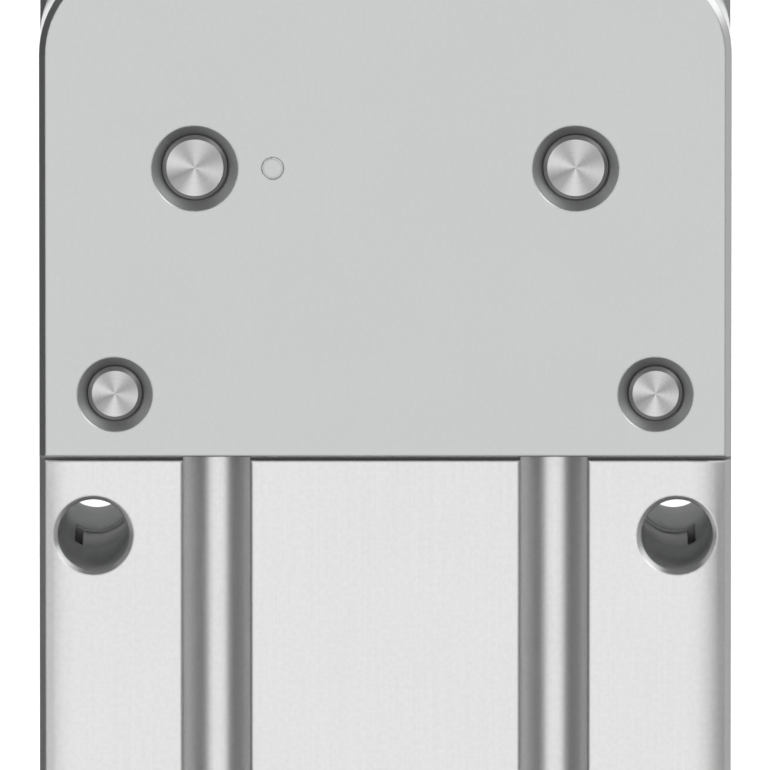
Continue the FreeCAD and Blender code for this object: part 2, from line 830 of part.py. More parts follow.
def make_piston_nut():
    """Hexagon nut in the recess under the piston."""
    hexagon = doc.addObject("Part::Prism", "nut_hexagon")
    hexagon.Polygon = 6
    hexagon.setExpression("Circumradius", dim("nut_circumradius").text)
    hexagon.setExpression("Height", dim("nut_height").text)
    hole = doc.addObject("Part::Cylinder", "nut_hole")
    hole.setExpression("Radius", (dim("rod_spigot_radius") + press_gap).text)
    hole.setExpression("Height", dim("nut_height").text)
    nut = doc.addObject("Part::Cut", "piston_nut")
    nut.Label = "piston_nut"
    nut.Base = hexagon
    nut.Tool = hole
    nut_low = piston_low + dim("nut_recess_depth") - dim("nut_height")
    nut.setExpression("Placement.Base.z", nut_low.text)
    return nut


def make_crosshead():
    """Fork on the rod end: a threaded foot and two cheeks that carry the drive pins."""
    body = new_body("crosshead")
    half = dim("crosshead_depth") / 2
    half_gap = dim("crosshead_slot") / 2
    floor = crosshead_low + dim("crosshead_web")
    top = drive_z + dim("crosshead_head")
    section = sketch_on(body, "crosshead_section", "YZ_Plane")
    trace(
        section,
        [
            (-half, crosshead_low),
            (half, crosshead_low),
            (half, top),
            (half_gap, top),
            (half_gap, floor),
            (-half_gap, floor),
            (-half_gap, top),
            (-half, top),
        ],
    )
    extrude(body, "Pad", section, dim("crosshead_width"), symmetric=True)
    thread = sketch_on(body, "crosshead_thread", "XY_Plane", crosshead_low)
    draw_circle(thread, ZERO, ZERO, dim("rod_spigot_radius") + press_gap)
    extrude(body, "Pocket", thread, dim("crosshead_thread"), backwards=True)
    pin_holes = sketch_on(body, "drive_pin_holes", "XZ_Plane")
    for side in (-1, 1):
        draw_circle(pin_holes, dim("drive_offset") * side, drive_z, dim("drive_pin_radius") + press_gap)
    extrude(body, "Pocket", pin_holes, dim("crosshead_depth"), symmetric=True)
    edge_x = dim("crosshead_width").value / 2

    def top_corner(edge):
        box = edge.BoundBox
        return lies_on(edge, "Z", top.value) and abs(abs(box.Center.x) - edge_x) < SAME_PLACE

    break_edges(body, "Fillet", "crosshead_corners", dim("crosshead_corner"), top_corner)
    return body


def make_jaw(word, side):
    """A bell crank: finger seat above the pivot, drive arm pointing inwards and slotted at its end."""
    body = new_body(f"jaw_{word}", x=dim("pivot_offset") * side, z=pivot_z)
    outer = dim("jaw_outer")
    hub = dim("hub_radius")
    top = dim("jaw_top")
    heel_x = outer * cosine(dim("jaw_heel_angle"))
    heel_z = -outer * sine(dim("jaw_heel_angle"))
    turn = side > 0
    plate = sketch_on(body, f"jaw_{word}_plate", "XZ_Plane")
    trace(
        plate,
        [
            (-dim("jaw_inner") * side, top),
            (outer * side, top),
            (outer * side, ZERO, Bend(0, 0, outer, clockwise=turn)),
            (heel_x * side, heel_z),
            (ZERO, -hub, Bend(0, 0, hub, clockwise=turn)),
            (-hub * side, ZERO),
            (-hub * side, dim("hub_shoulder_low")),
            (-dim("jaw_inner") * side, dim("hub_shoulder_high")),
        ],
    )
    extrude(body, "Pad", plate, dim("jaw_depth"), symmetric=True)

    slope = dim("drive_half_angle")

    def arm_point(along, across):
        """A point of the drive arm, measured along its centre line and down from it."""
        x = across * sine(slope) - along * cosine(slope)
        z = -along * sine(slope) - across * cosine(slope)
        return x * side, z

    start = dim("arm_slot_start")
    tip = dim("arm_length")
    half = dim("arm_half_width")
    slot = dim("arm_slot_half")
    slot_centre = arm_point(start, ZERO)
    arm = sketch_on(body, f"jaw_{word}_arm", "XZ_Plane")
    trace(
        arm,
        [
            arm_point(ZERO, half),
            arm_point(tip, half),
            arm_point(tip, slot),
            (*arm_point(start, slot), Bend(*slot_centre, slot, clockwise=not turn)),
            arm_point(start, -slot),
            arm_point(tip, -slot),
            arm_point(tip, -half),
            arm_point(ZERO, -half),
        ],
    )
    extrude(body, "Pad", arm, dim("arm_depth"), symmetric=True)

    eye = sketch_on(body, f"jaw_{word}_eye", "XZ_Plane")
    draw_circle(eye, ZERO, ZERO, dim("jaw_bush_radius"))
    extrude(body, "Pocket", eye, dim("jaw_depth"), symmetric=True)

    finger_holes = sketch_on(body, f"jaw_{word}_finger_holes", "YZ_Plane")
    for step in (0, 1):
        height = dim("finger_hole_low") + dim("finger_hole_pitch") * step
        draw_circle(finger_holes, ZERO, height, dim("finger_hole_radius"))
    extrude(body, "Pocket", finger_holes, outer * 2, symmetric=True)
    inner_face = -dim("jaw_inner").value * side
    outer_face = outer.value * side
    tip_corners = [arm_point(tip, half), arm_point(tip, -half)]

    def thread_mouth(edge):
        on_face = lies_on(edge, "X", inner_face) or lies_on(edge, "X", outer_face)
        return on_face and is_circle(edge, dim("finger_hole_radius"))

    def arm_tip(edge):
        middle = edge.BoundBox.Center
        gaps = [math.hypot(middle.x - x.value, middle.z - z.value) for x, z in tip_corners]
        return min(gaps) < SAME_PLACE

    break_edges(body, "Chamfer", f"jaw_{word}_threads", dim("thread_break"), thread_mouth)
    break_edges(body, "Fillet", f"jaw_{word}_arm_tip", dim("arm_round"), arm_tip)

    def finger_end(edge):
        return lies_on(edge, "Z", top.value)

    break_edges(body, "Chamfer", f"jaw_{word}_end", dim("jaw_edge"), finger_end)

    half_plate = dim("jaw_depth").value / 2

    def finger_side(edge):
        box = edge.BoundBox
        on_face = lies_on(edge, "Y", half_plate) or lies_on(edge, "Y", -half_plate)
        return on_face and box.ZMin > -SAME_PLACE and box.ZLength > dim("hub_shoulder_high").value

    break_edges(body, "Chamfer", f"jaw_{word}_sides", dim("jaw_edge"), finger_side)
    bush_reach = dim("jaw_depth") / 2
    bush = turned_part(
        f"jaw_bush_{word}",
        ring_section(
            dim("pivot_radius") + running_gap, dim("jaw_bush_radius") - press_gap, -bush_reach, bush_reach
        ),
        x=dim("pivot_offset") * side,
        z=pivot_z,
        along_y=True,
    )
    return [body, bush]


def make_pivot_shims():
    """Four thin washers that keep the jaws central between the cheeks, as one group."""
    shims = []
    for side in (-1, 1):
        for face in (-1, 1):
            name = f"shim_{len(shims)}"
            disc = doc.addObject("Part::Cylinder", f"{name}_disc")
            disc.setExpression("Radius", dim("shim_outer").text)
            disc.setExpression("Height", dim("shim_thickness").text)
            hole = doc.addObject("Part::Cylinder", f"{name}_hole")
            hole.setExpression("Radius", dim("shim_inner").text)
            hole.setExpression("Height", dim("shim_thickness").text)
            shim = doc.addObject("Part::Cut", name)
            shim.Base = disc
            shim.Tool = hole
            shim.Placement.Rotation = FreeCAD.Rotation(FreeCAD.Vector(1, 0, 0), 90)
            middle = dim("jaw_depth") / 4 + half_slot / 2
            shim.setExpression("Placement.Base.x", (dim("pivot_offset") * side).text)
            shim.setExpression("Placement.Base.y", (middle * face + dim("shim_thickness") / 2).text)
            shim.setExpression("Placement.Base.z", pivot_z.text)
            shims.append(shim)
    group = doc.addObject("Part::Compound", "pivot_shims")
    group.Label = "pivot_shims"
    group.Links = shims
    return group


subparts = [
    make_cylinder_body(),
    make_cheek("front_cheek", front=True),
    make_cheek("rear_cheek", front=False),
    make_retaining_ring(),
    make_piston_nut(),
    make_crosshead(),
    make_pivot_shims(),
]
subparts += make_pins()
subparts += make_cylinder_fittings()
subparts += make_piston_group()
for half_word, half_side in (("left", -1), ("right", 1)):
    subparts.append(make_tie_block(half_word, half_side))
    subparts += make_jaw(half_word, half_side)
doc.recompute()

for item in doc.Objects:
    if "Invalid" in item.State or "Error" in item.State:
        raise RuntimeError(f"{item.Label} failed: {item.State}")
    if item.TypeId.split("::")[-1] in ("Pocket", "Groove", "Chamfer", "Fillet"):
        if item.Shape.Volume >= item.BaseFeature.Shape.Volume - LEAST_CUT:
            raise RuntimeError(f"{item.Label} removes nothing")
for part in subparts:
    if part.Shape.isNull() or not part.Shape.isValid():
        raise RuntimeError(f"{part.Label} has no valid shape")

os.makedirs("parts", exist_ok=True)
for part in subparts:
    part.Shape.exportStep(f"parts/{part.Label}.step")
    box = part.Shape.BoundBox
    print(
        f"{part.Label}: {len(part.Shape.Solids)} solid(s), {part.Shape.Volume:.2f} mm3, "
        f"x {box.XMin:.2f}..{box.XMax:.2f}, y {box.YMin:.2f}..{box.YMax:.2f}, "
        f"z {box.ZMin:.2f}..{box.ZMax:.2f}"
    )
stroke = drive_drop * 2
swing = dim("drive_half_angle") * 2
print(f"piston stroke {stroke.value:.4f} mm for {swing.value:.0f} degrees a jaw")
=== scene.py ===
"""Looks of a small pneumatic angular gripper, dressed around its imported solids.

Metres, +Z along the cylinder towards the jaws, front with the sensor grooves towards -Y.
"""

import json
import logging
import math
from dataclasses import dataclass, field
from enum import Enum

import bpy
import numpy as np
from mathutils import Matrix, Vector


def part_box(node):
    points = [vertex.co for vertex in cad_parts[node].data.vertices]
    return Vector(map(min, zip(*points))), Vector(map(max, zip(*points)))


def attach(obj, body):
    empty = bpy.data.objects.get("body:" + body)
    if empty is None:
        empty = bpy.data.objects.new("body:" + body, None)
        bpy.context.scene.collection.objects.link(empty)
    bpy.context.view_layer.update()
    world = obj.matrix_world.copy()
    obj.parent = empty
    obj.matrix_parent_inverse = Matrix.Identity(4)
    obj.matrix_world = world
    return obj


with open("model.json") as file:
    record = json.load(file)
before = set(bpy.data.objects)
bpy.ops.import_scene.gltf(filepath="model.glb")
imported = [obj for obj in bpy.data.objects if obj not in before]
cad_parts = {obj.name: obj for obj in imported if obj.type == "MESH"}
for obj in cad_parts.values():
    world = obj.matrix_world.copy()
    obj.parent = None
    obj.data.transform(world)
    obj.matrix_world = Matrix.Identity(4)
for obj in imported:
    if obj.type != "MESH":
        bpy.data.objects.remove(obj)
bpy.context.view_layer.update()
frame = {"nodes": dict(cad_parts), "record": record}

MM = 0.001

# Y part of a normal below which a face looks aside, and above which it looks to the front or the rear
FACING = (0.8, 0.95)

# Middle stretch of each kind of noise, which is drawn out to 0..1
GRAIN_RANGE = (0.25, 0.75)
SPOT_RANGE = (0.3, 0.7)
PATCH_RANGE = (0.35, 0.7)

Triple = tuple[float, float, float]
Colour = Triple
Material = bpy.types.Material
Node = bpy.types.Node
NodeTree = bpy.types.NodeTree
Socket = bpy.types.NodeSocket
Operand = float | Socket

WHITE: Colour = (1.0, 1.0, 1.0)

log = logging.getLogger("gripper")


class Side(Enum):
    """The two mirror halves of the gripper, by the sign of their X."""

    LEFT = -1
    RIGHT = 1

    @property
    def word(self) -> str:
        """The word that names of this half end in."""
        return self.name.lower()


class Axis(Enum):
    """Row axes that a hole can run along."""

    X = (1.0, 0.0, 0.0)
    Z = (0.0, 0.0, 1.0)


class ThreadSize(Enum):
    """Metric threads of the gripper, by nominal radius and pitch."""

    M3 = (1.5 * MM, 0.5 * MM)
    M5 = (2.5 * MM, 0.8 * MM)


# What the frame says


def middle(node: str) -> Triple:
    """The middle of a carried-over node's box."""
    low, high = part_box(node)
    return tuple((low + high) / 2.0)


def mount(name: str) -> tuple[Triple, dict[str, float]]:
    """A mount's place in metres and its sizes by name in millimetres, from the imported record."""
    entry = next(entry for entry in frame["record"]["mounts"] if entry["name"] == name)
    return entry["pos_m"], entry["dims"]


# Shader graphs


class Graph:
    """Short ways to place and join nodes in one node tree."""

    def __init__(self, tree: NodeTree) -> None:
        """Wraps the tree that nodes are added to."""
        self.tree = tree

    def add(self, kind: str, inputs: dict | None = None, **settings: object) -> Node:
        """Adds a node.

        Args:
            kind: the node's type name.
            inputs: what goes into its inputs, by their name or number.
            settings: properties to set on it.

        Returns:
            The new node.
        """
        node = self.tree.nodes.new(kind)
        for name, value in settings.items():
            setattr(node, name, value)
        for key, source in (inputs or {}).items():
            self.feed(node.inputs[key], source)
        return node

    def feed(self, target: Socket, source: object) -> None:
        """Links a socket to an input, or sets the input's own value.

        Args:
            target: the input.
            source: a socket to link, or a number, colour or vector to set.
        """
        if isinstance(source, Socket):
            self.tree.links.new(source, target)
            return
        if target.type == "RGBA" and len(source) == 3:
            source = (*source, 1.0)
        target.default_value = source

    def math(self, operation: str, first: Operand, second: Operand = 0.0, clamp: bool = False) -> Socket:
        """The result of a Math node on one or two numbers, held between 0 and 1 where clamp is set."""
        node = self.add("ShaderNodeMath", {0: first, 1: second}, operation=operation, use_clamp=clamp)
        return node.outputs[0]

    def vector(self, operation: str, first: object, second: object) -> Socket:
        """The result of a Vector Math node: a vector, or a number where the operation gives one."""
        node = self.add("ShaderNodeVectorMath", {0: first, 1: second}, operation=operation)
        return node.outputs["Value" if operation == "DOT_PRODUCT" else "Vector"]

    def ramp(self, value: Operand, low: float, high: float, start: float = 0.0, end: float = 1.0) -> Socket:
        """A smooth step of a value: start at and before low, and end at and after high."""
        inputs = dict(enumerate((value, low, high, start, end)))
        return self.add("ShaderNodeMapRange", inputs, interpolation_type="SMOOTHSTEP").outputs[0]

    def blend(self, factor: Operand, first: object, second: object) -> Socket:
        """A mix of two colours: the first one at factor 0, and the second at 1."""
        return self.add("ShaderNodeMix", {0: factor, 6: first, 7: second}, data_type="RGBA").outputs[2]

    def lerp(self, factor: Operand, first: Operand, second: Operand) -> Socket:
        """A mix of two numbers: the first one at factor 0, and the second at 1."""
        return self.add("ShaderNodeMix", {0: factor, 2: first, 3: second}, data_type="FLOAT").outputs[0]

    def noise(self, vector: Socket, scale: float, detail: float = 3.0, roughness: float = 0.55) -> Socket:
        """Noise of about 0.5 in the mean, with so many cells to the metre and finer layers over them."""
        inputs = {"Vector": vector, "Scale": scale, "Detail": detail, "Roughness": roughness}
        return self.add("ShaderNodeTexNoise", inputs).outputs[0]

    def split(self, vector: Socket) -> tuple[Socket, Socket, Socket]:
        """The x, y and z of a vector."""
        return tuple(self.add("ShaderNodeSeparateXYZ", {0: vector}).outputs)

    def join(self, x: Operand, y: Operand, z: Operand) -> Socket:
        """The vector of three values."""
        return self.add("ShaderNodeCombineXYZ", {0: x, 1: y, 2: z}).outputs[0]

    def radius(self, x: Socket, z: Socket) -> Socket:
        """How far a point lies from an axis along Y: the root of the sum of the squares of x and z."""
        square = self.math("ADD", self.math("MULTIPLY", x, x), self.math("MULTIPLY", z, z))
        return self.math("SQRT", square)


def new_group(name: str, outputs: tuple[str, ...], **inputs: str) -> tuple[Graph, dict, dict]:
    """Makes an empty shader node group that takes a place on a surface and gives numbers.

    Args:
        name: the group's name.
        outputs: names of the numbers.
        inputs: socket type of each input after the place, Float or Vector.

    Returns:
        The graph inside, the sockets that bring the inputs in, and those that take the outputs.
    """
    tree = bpy.data.node_groups.new(name, "ShaderNodeTree")
    for label, kind in {"Vector": "Vector", **inputs}.items():
        tree.interface.new_socket(label, in_out="INPUT", socket_type=f"NodeSocket{kind}")
    for label in outputs:
        tree.interface.new_socket(label, in_out="OUTPUT", socket_type="NodeSocketFloat")
    graph = Graph(tree)
    source = graph.add("NodeGroupInput")
    target = graph.add("NodeGroupOutput")
    return graph, dict(source.outputs.items()), dict(target.inputs.items())


@dataclass
class Effects:
    """Node groups that several finishes share.

    Attributes:
        mottle_scale: cells of mottle to the metre.
        sheen_waves: cycles to the turn, lead in degrees and share of each wave in the painted sheen of
            turned metal.
        sway_scale: cells to the metre of the noise that bends a cutter's marks.
        depth_scale: cells to the metre of the noise that makes their depth uneven.
        patch_scale: wiped patches to the metre.
        spot_scale: finer spots in them, to the metre.
        spot_share: share of the spots.
        grain: streaks and mottle of drawn metal.
        hole: the inside of a mirrored pair of holes, and the distance from their axes.
        rings: marks and painted sheen of turned metal.
        cutter: marks of a milling cutter.
        handling: wiped patches of oil.
    """

    mottle_scale: float = 4600.0
    # waves of the painted highlight wedges on turned pin ends
    sheen_waves: tuple[Triple, ...] = ((2.0, 84.0, 0.25), (3.0, -103.0, 0.1), (4.0, 27.0, 0.33))
    sway_scale: float = 420.0
    depth_scale: float = 900.0
    patch_scale: float = 160.0
    spot_scale: float = 1400.0
    spot_share: float = 0.25
    grain: NodeTree = field(init=False)
    hole: NodeTree = field(init=False)
    rings: NodeTree = field(init=False)
    cutter: NodeTree = field(init=False)
    handling: NodeTree = field(init=False)

    def __post_init__(self) -> None:
        """Builds every group once."""
        self.build_grain()
        self.build_hole()
        self.build_rings()
        self.build_cutter()
        self.build_handling()

    def build_grain(self) -> None:
        """Streaks: noise on coordinates that are squeezed along the drawing direction; and plain mottle."""
        graph, given, wanted = new_group("drawn_grain", ("Grain", "Mottle"), Stretch="Vector")
        squeezed = graph.vector("MULTIPLY", given["Vector"], given["Stretch"])
        fine = graph.noise(squeezed, 1.0, detail=4.0, roughness=0.7)
        graph.feed(wanted["Grain"], graph.ramp(fine, *GRAIN_RANGE))
        mottle = graph.noise(given["Vector"], self.mottle_scale)
        graph.feed(wanted["Mottle"], graph.ramp(mottle, *SPOT_RANGE))
        self.grain = graph.tree

    def build_hole(self) -> None:
        """1 within a radius of two mirrored axes that run along Y, and 0 outside it."""
        graph, given, wanted = new_group(
            "cross_drilled", ("Inside", "Distance"), Offset="Float", Height="Float", Radius="Float"
        )
        x, _, z = graph.split(given["Vector"])
        across = graph.math("SUBTRACT", graph.math("ABSOLUTE", x), given["Offset"])
        up = graph.math("SUBTRACT", z, given["Height"])
        distance = graph.radius(across, up)
        graph.feed(wanted["Inside"], graph.math("LESS_THAN", distance, given["Radius"]))
        graph.feed(wanted["Distance"], distance)
        self.hole = graph.tree

    def build_rings(self) -> None:
        """Lathe marks about an axis along Y, and a painted sheen of the highlights that they would give.

        The marks are noise that changes only with the distance from the axis. The painted sheen has four
        light and
        dark wedges of uneven width: the sum of waves around the axis with two, three and four cycles to the
        turn.
        """
        graph, given, wanted = new_group("lathe_rings", ("Rings", "Sheen"), Centre="Vector", Pitch="Float")
        x, _, z = graph.split(graph.vector("SUBTRACT", given["Vector"], given["Centre"]))
        spot = graph.join(graph.math("DIVIDE", graph.radius(x, z), given["Pitch"]), 0.0, 0.0)
        graph.feed(wanted["Rings"], graph.noise(spot, 1.0, detail=2.0, roughness=0.6))
        angle = graph.math("ARCTAN2", z, x)
        painted_sheen: Operand = 0.5
        for cycles, lead, share in self.sheen_waves:
            phase = graph.math("ADD", graph.math("MULTIPLY", angle, cycles), math.radians(lead))
            painted_sheen = graph.math("ADD", painted_sheen, graph.math("MULTIPLY", graph.math("COSINE", phase), share))
        graph.feed(wanted["Sheen"], painted_sheen)
        self.rings = graph.tree

    def build_cutter(self) -> None:
        """Milling marks: a wave along one direction, bent a little and of uneven depth."""
        graph, given, wanted = new_group("cutter_marks", ("Marks",), Along="Vector", Pitch="Float")
        travel = graph.vector("DOT_PRODUCT", given["Vector"], given["Along"])
        sway = graph.math("MULTIPLY", graph.noise(given["Vector"], self.sway_scale), given["Pitch"])
        phase = graph.math("DIVIDE", graph.math("ADD", travel, sway), given["Pitch"])
        wave = graph.math("SINE", graph.math("MULTIPLY", phase, 2.0 * math.pi))
        depth = graph.noise(given["Vector"], self.depth_scale, detail=2.0)
        graph.feed(wanted["Marks"], graph.math("MULTIPLY", wave, depth))
        self.cutter = graph.tree

    def build_handling(self) -> None:
        """Faint wiped patches of oil and handling, large and soft, broken up by finer spots."""
        graph, given, wanted = new_group("handling", ("Patches",))
        large = graph.noise(given["Vector"], self.patch_scale, detail=2.0)
        small = graph.noise(given["Vector"], self.spot_scale)
        both = graph.lerp(self.spot_share, large, small)
        graph.feed(wanted["Patches"], graph.ramp(both, *PATCH_RANGE))
        self.handling = graph.tree


# Finishes


@dataclass
class Canvas:
    """A material while a finish is painted on it.

    Attributes:
        graph: its node graph.
        shader: its Principled shader.
        place: Object coordinates of the surface.
        effects: the shared node groups.
    """

    graph: Graph
    shader: Node
    place: Socket
    effects: Effects

    def set(self, name: str, source: object) -> None:
        """Feeds an input of the shader."""
        self.graph.feed(self.shader.inputs[name], source)

    def lay(self, group: NodeTree, **inputs: object) -> Node:
        """Lays a shared node group on the surface, with what goes into its other inputs by their names."""
        return self.graph.add("ShaderNodeGroup", {"Vector": self.place, **inputs}, node_tree=group)

    def patches(self) -> Socket:
        """Wiped patches on the surface, from 0 to 1."""
        return self.lay(self.effects.handling).outputs["Patches"]

    def hole(self, centre: Triple, radius: float) -> Node:
        """The group that finds a mirrored pair of holes, by a point on the axis of one and their radius."""
        return self.lay(self.effects.hole, Offset=abs(centre[0]), Height=centre[2], Radius=radius)

    def aside(self) -> Socket:
        """0 where the surface looks to the front or the rear, and 1 where it looks aside."""
        y = self.graph.split(self.graph.add("ShaderNodeNewGeometry").outputs["Normal"])[1]
        return self.graph.ramp(self.graph.math("ABSOLUTE", y), *FACING, 1.0, 0.0)


@dataclass(frozen=True)
class Finish:
    """What every finish has: a colour, a roughness, a broken edge and a fine relief.

    Attributes:
        name: the material's name.
        colour: base colour, linear.
        roughness: mean roughness.
        metallic: 1 for bare metal, 0 for plastic and rubber.
        edge: radius that sharp edges look rounded to, in metres.
        depth: depth of the relief, in metres.
    """

    name: str
    colour: Colour
    roughness: float
    metallic: float = 1.0
    edge: float = 0.03 * MM
    depth: float = 0.0006 * MM

    def build(self, effects: Effects) -> Material:
        """Makes the material.

        Args:
            effects: the shared node groups.

        Returns:
            The finished material.
        """
        material = bpy.data.materials.new(self.name)
        material.use_nodes = True
        graph = Graph(material.node_tree)
        shader = material.node_tree.nodes["Principled BSDF"]
        shader.inputs["Metallic"].default_value = self.metallic
        place = graph.add("ShaderNodeTexCoord").outputs["Object"]
        self.paint(Canvas(graph, shader, place, effects))
        return material

    def paint(self, canvas: Canvas) -> None:
        """Fills in colour, roughness and relief; each finish has its own."""
        raise NotImplementedError

    def shade(self, graph: Graph, factor: Operand, spread: float) -> Socket:
        """Makes the finish's colour darker and lighter.

        Args:
            graph: the material's graph.
            factor: 0 where it is darkest and 1 where it is lightest.
            spread: how much darker and lighter, as a share.

        Returns:
            The colour.
        """
        dark = tuple(channel * (1.0 - spread) for channel in self.colour)
        light = tuple(min(1.0, channel * (1.0 + spread)) for channel in self.colour)
        return graph.blend(factor, dark, light)

    def dull(self, graph: Graph, factor: Operand, less: float, more: float) -> Socket:
        """The finish's roughness, from so much less to so much more as the factor goes from 0 to 1."""
        return graph.lerp(factor, self.roughness - less, self.roughness + more)

    def relief(self, canvas: Canvas, height: Socket) -> None:
        """Bumps the surface by the finish's depth, over softened edges.

        Args:
            canvas: the material.
            height: the relief, from 0 to 1.
        """
        edge = canvas.graph.add("ShaderNodeBevel", {"Radius": self.edge}, samples=4)
        inputs = {"Strength": 1.0, "Distance": self.depth, "Height": height, "Normal": edge.outputs[0]}
        canvas.set("Normal", canvas.graph.add("ShaderNodeBump", inputs).outputs[0])


@dataclass(frozen=True)
class Drilled:
    """A mirrored pair of holes along Y whose cut walls are painted darker than the face around them, partly
    as painted shade.

    Attributes:
        centre: a point on the axis of one of them.
        radius: radius out to the outer edge of the chamfer.
    """

    centre: Triple
    radius: float


@dataclass(frozen=True)
class Cut:
    """A surface laid over part of another finish: a cut face, or painted shade and painted light.

    Attributes:
        colour: its base colour.
        roughness: its roughness.
        metallic: how metallic it looks; low on the cross holes' walls, where it dulls them along with their
            painted shade.
        deep: painted light colour near the middle plane, where there is one; it brightens the middle of a
            hole, where little light reaches.
        depths: distances from the middle plane where the painted light begins to fade and is gone.
    """

    colour: Colour
    roughness: float
    metallic: float = 1.0
    deep: Colour | None = None
    depths: tuple[float, float] = (3.0 * MM, 9.5 * MM)

    def tint(self, canvas: Canvas) -> Socket | Colour:
        """Works out the base colour.

        Args:
            canvas: the material.

        Returns:
            The colour, which fades from the painted light with distance from the middle plane where there is
            one.
        """
        if self.deep is None:
            return self.colour
        away = canvas.graph.math("ABSOLUTE", canvas.graph.split(canvas.place)[1])
        # painted light: the colour brightens towards the middle plane
        return canvas.graph.blend(canvas.graph.ramp(away, *self.depths), self.deep, self.colour)


@dataclass
class Skin:
    """Colour and roughness of a surface while layers are laid over it.

    Attributes:
        colour: its base colour.
        roughness: its roughness.
    """

    colour: Socket
    roughness: Socket

    def cover(self, canvas: Canvas, mask: Socket, cut: Cut) -> None:
        """Lays a cut surface, painted shade or painted light over this one where the mask is 1."""
        self.colour = canvas.graph.blend(mask, self.colour, cut.tint(canvas))
        self.roughness = canvas.graph.lerp(mask, self.roughness, cut.roughness)


@dataclass(frozen=True)
class DrawnAluminium(Finish):
    """Clear anodised aluminium with grain along one direction, and cut walls in its holes painted dark,
    partly as painted shade.

    Attributes:
        stretch: noise cells per metre along X, Y and Z; few along the grain.
        spread: how far the grain changes the colour.
        mottled: share of the grain that is mottle and not streaks.
        patchiness: how far handling changes the roughness.
        holes: pairs of holes whose walls are painted dark.
        wall: surface of those walls; its dark colour is partly cut metal and partly painted shade.
        flank: surface of the faces that don't look to the front or the rear, where it differs.
        joint: height above which painted shade darkens what lies behind the front and rear faces, in the gap
            under the head.
        face: distance of the front and rear faces from the middle plane.
        recess: how far behind those faces the painted shade begins.
        dirt: surface of the painted shade.
    """

    stretch: Triple = (8000.0, 8000.0, 90.0)
    spread: float = 0.045
    mottled: float = 0.55
    patchiness: float = 0.03
    holes: tuple[Drilled, ...] = ()
    wall: Cut | None = None
    flank: Cut | None = None
    joint: float | None = None
    face: float = 10.0 * MM
    recess: float = 0.13 * MM
    # painted shade: a darker grey laid in the gap under the head
    dirt: Cut = Cut((0.36, 0.36, 0.36), 0.7)

    def paint(self, canvas: Canvas) -> None:
        """Lays cut flanks, hole walls in partly painted shade and painted shade in the gap under the head
        over grain and mottling.

        Args:
            canvas: the material.
        """
        graph = canvas.graph
        grain = canvas.lay(canvas.effects.grain, Stretch=self.stretch)
        mixed = graph.lerp(self.mottled, grain.outputs["Grain"], grain.outputs["Mottle"])
        rough = self.dull(graph, canvas.patches(), self.patchiness, self.patchiness)
        skin = Skin(self.shade(graph, mixed, self.spread), rough)
        if self.flank:
            skin.cover(canvas, canvas.aside(), self.flank)
        if self.holes:
            # hole walls: cut metal whose darker colour is partly painted shade
            inside = self.inside(canvas)
            skin.cover(canvas, inside, self.wall)
            if self.wall.metallic != self.metallic:
                canvas.set("Metallic", graph.lerp(inside, self.metallic, self.wall.metallic))
        # painted shade in the gap under the head
        if self.joint:
            skin.cover(canvas, self.soiled(canvas), self.dirt)
        canvas.set("Base Color", skin.colour)
        canvas.set("Roughness", skin.roughness)
        self.relief(canvas, mixed)

    def inside(self, canvas: Canvas) -> Socket:
        """Finds the walls of the holes.

        Args:
            canvas: the material.

        Returns:
            1 within any of the holes, and 0 outside them.
        """
        mask: Operand = 0.0
        for hole in self.holes:
            found = canvas.hole(hole.centre, hole.radius).outputs["Inside"]
            mask = canvas.graph.math("MAXIMUM", mask, found)
        return mask

    def soiled(self, canvas: Canvas) -> Socket:
        """Finds where shade is painted into the gap under the head: above its height and behind the front
        and rear faces.

        Args:
            canvas: the material.

        Returns:
            1 where shade is painted, and 0 elsewhere.
        """
        graph = canvas.graph
        _, y, z = graph.split(canvas.place)
        behind = graph.math("LESS_THAN", graph.math("ABSOLUTE", y), self.face - self.recess)
        return graph.math("MULTIPLY", behind, graph.math("GREATER_THAN", z, self.joint))


@dataclass(frozen=True)
class TurnedSteel(Finish):
    """Bright steel turned on a lathe about an axis along Y, with a painted sheen on its end.

    Attributes:
        depth: depth of the lathe marks.
        centre: a point on the axis.
        pitch: width of the lathe marks.
        anisotropy: how strongly the marks pull reflections out of round.
        edge_colour: dark base colour of the broken edge and the side of the pin, painted shade where they
            sit in the countersink.
        contrast: how far the painted sheen changes the colour.
        ripple: how far the marks do, as a share of that.
        uneven: how far the marks change the roughness.
        tangent_rise: part of the tangent along the axis, which keeps it from vanishing there.
    """

    depth: float = 0.0008 * MM
    centre: Triple = (0.0, 0.0, 0.0)
    pitch: float = 0.07 * MM
    anisotropy: float = 0.9
    edge_colour: Colour = (0.3, 0.3, 0.3)
    contrast: float = 0.52
    ripple: float = 0.5
    uneven: float = 0.06
    tangent_rise: float = 0.2 * MM

    def paint(self, canvas: Canvas) -> None:
        """Concentric marks in colour and relief, painted highlight wedges, and reflections drawn out along
        the radius.

        Args:
            canvas: the material.
        """
        graph = canvas.graph
        group = canvas.lay(canvas.effects.rings, Centre=self.centre, Pitch=self.pitch)
        rings = group.outputs["Rings"]
        ripple = graph.math("MULTIPLY", graph.math("SUBTRACT", rings, 0.5), self.ripple)
        # painted highlight: the sheen's light and dark wedges go into the base colour
        painted_sheen_and_marks = graph.math("ADD", group.outputs["Sheen"], ripple, clamp=True)
        colour = self.shade(graph, painted_sheen_and_marks, self.contrast)
        # painted shade: the pin's edge and side take a dark colour
        canvas.set("Base Color", graph.blend(canvas.aside(), colour, self.edge_colour))
        canvas.set("Roughness", self.dull(graph, rings, self.uneven, self.uneven))
        canvas.set("Anisotropic", self.anisotropy)
        x, _, z = graph.split(graph.vector("SUBTRACT", canvas.place, self.centre))
        canvas.set("Tangent", graph.join(x, self.tangent_rise, z))
        self.relief(canvas, rings)


